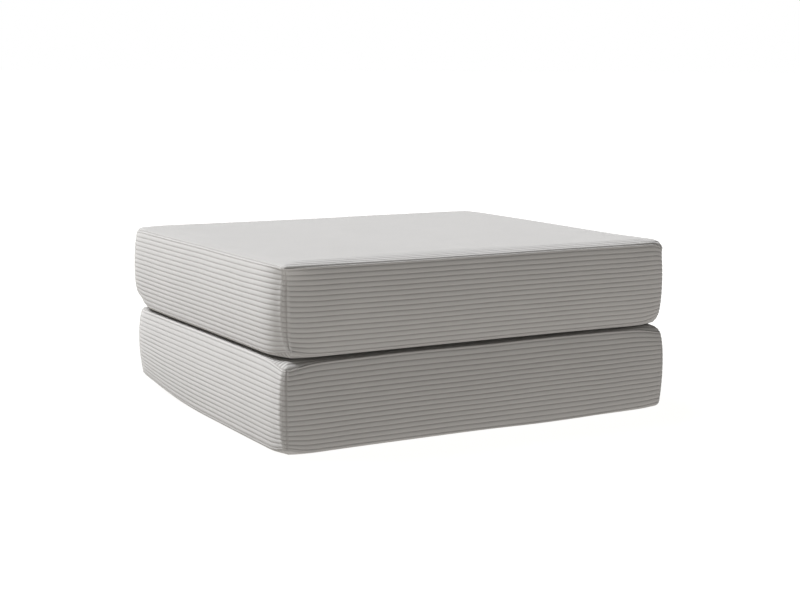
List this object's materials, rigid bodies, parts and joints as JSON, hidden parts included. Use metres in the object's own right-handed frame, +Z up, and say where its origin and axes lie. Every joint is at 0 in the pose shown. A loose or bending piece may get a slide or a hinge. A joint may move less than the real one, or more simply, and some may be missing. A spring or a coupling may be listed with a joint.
{
  "type": "fold out ottoman guest bed",
  "caption": "Two foam slabs in wide-wale corduroy covers, hinged with cloth along a short side: a low ottoman when folded, a floor mattress when folded out.",
  "frame": {"origin": "on the floor, under the middle of the lower slab", "axes": "+X along the long side, towards the cloth hinge; -Y towards the front; +Z up"},
  "size_m": [1.0009, 0.8541, 0.4003],
  "materials": {
    "cover_corduroy": "wide-wale cotton corduroy, light warm grey, matt pile",
    "liner_cloth": "thin plain-woven inner liner",
    "wadding": "white polyester fibre wadding",
    "foam": "open-cell foam, pale cream",
    "zip_tape": "woven zip tape",
    "zip_coil": "nylon zip coil",
    "zip_metal": "enamelled zip metal, warm grey"
  },
  "bodies": {
    "lower_mattress": {"lower_top_panel": "cover_corduroy", "lower_bottom_panel": "cover_corduroy", "lower_front_boxing": "cover_corduroy", "lower_left_boxing": "cover_corduroy", "lower_right_boxing": "cover_corduroy", "lower_back_upper_boxing": "cover_corduroy", "lower_back_lower_boxing": "cover_corduroy", "lower_liner_top_half": "liner_cloth", "lower_liner_bottom_half": "liner_cloth", "lower_wadding_top_tray": "wadding", "lower_wadding_bottom_tray": "wadding", "lower_foam_block": "foam", "lower_zip_upper_tape": "zip_tape", "lower_zip_lower_tape": "zip_tape", "lower_zip_upper_coil": "zip_coil", "lower_zip_lower_coil": "zip_coil", "lower_zip_stops": "zip_metal", "hinge_strip": "cover_corduroy"},
    "lower_slider": {"lower_zip_slider": "zip_metal"},
    "lower_pull": {"lower_zip_pull": "zip_metal"},
    "upper_mattress": {"upper_top_panel": "cover_corduroy", "upper_bottom_panel": "cover_corduroy", "upper_front_boxing": "cover_corduroy", "upper_left_boxing": "cover_corduroy", "upper_right_boxing": "cover_corduroy", "upper_back_upper_boxing": "cover_corduroy", "upper_back_lower_boxing": "cover_corduroy", "upper_liner_top_half": "liner_cloth", "upper_liner_bottom_half": "liner_cloth", "upper_wadding_top_tray": "wadding", "upper_wadding_bottom_tray": "wadding", "upper_foam_block": "foam", "upper_zip_upper_tape": "zip_tape", "upper_zip_lower_tape": "zip_tape", "upper_zip_upper_coil": "zip_coil", "upper_zip_lower_coil": "zip_coil", "upper_zip_stops": "zip_metal"},
    "upper_slider": {"upper_zip_slider": "zip_metal"},
    "upper_pull": {"upper_zip_pull": "zip_metal"}
  },
  "joints": [
    {"name": "fold_hinge", "type": "hinge", "parent": "lower_mattress", "child": "upper_mattress", "pos_m": [0.502, 0, 0.20015], "axis": [0, 1, 0], "range_deg": [0, 180], "deforming": ["hinge_strip"]},
    {"name": "lower_zip_slide", "type": "slide", "parent": "lower_mattress", "child": "lower_slider", "axis": [1, 0, 0], "range_m": [0, 0.937], "deforming": ["lower_zip_upper_coil", "lower_zip_lower_coil"]},
    {"name": "lower_pull_hinge", "type": "hinge", "parent": "lower_slider", "child": "lower_pull", "pos_m": [-0.4686, 0.4276, 0.1], "axis": [0, 0, 1], "range_deg": [0, 175]},
    {"name": "upper_zip_slide", "type": "slide", "parent": "upper_mattress", "child": "upper_slider", "axis": [1, 0, 0], "range_m": [0, 0.937], "deforming": ["upper_zip_upper_coil", "upper_zip_lower_coil"]},
    {"name": "upper_pull_hinge", "type": "hinge", "parent": "upper_slider", "child": "upper_pull", "pos_m": [-0.4686, 0.4276, 0.3003], "axis": [0, 0, 1], "range_deg": [0, 175]}
  ]
}
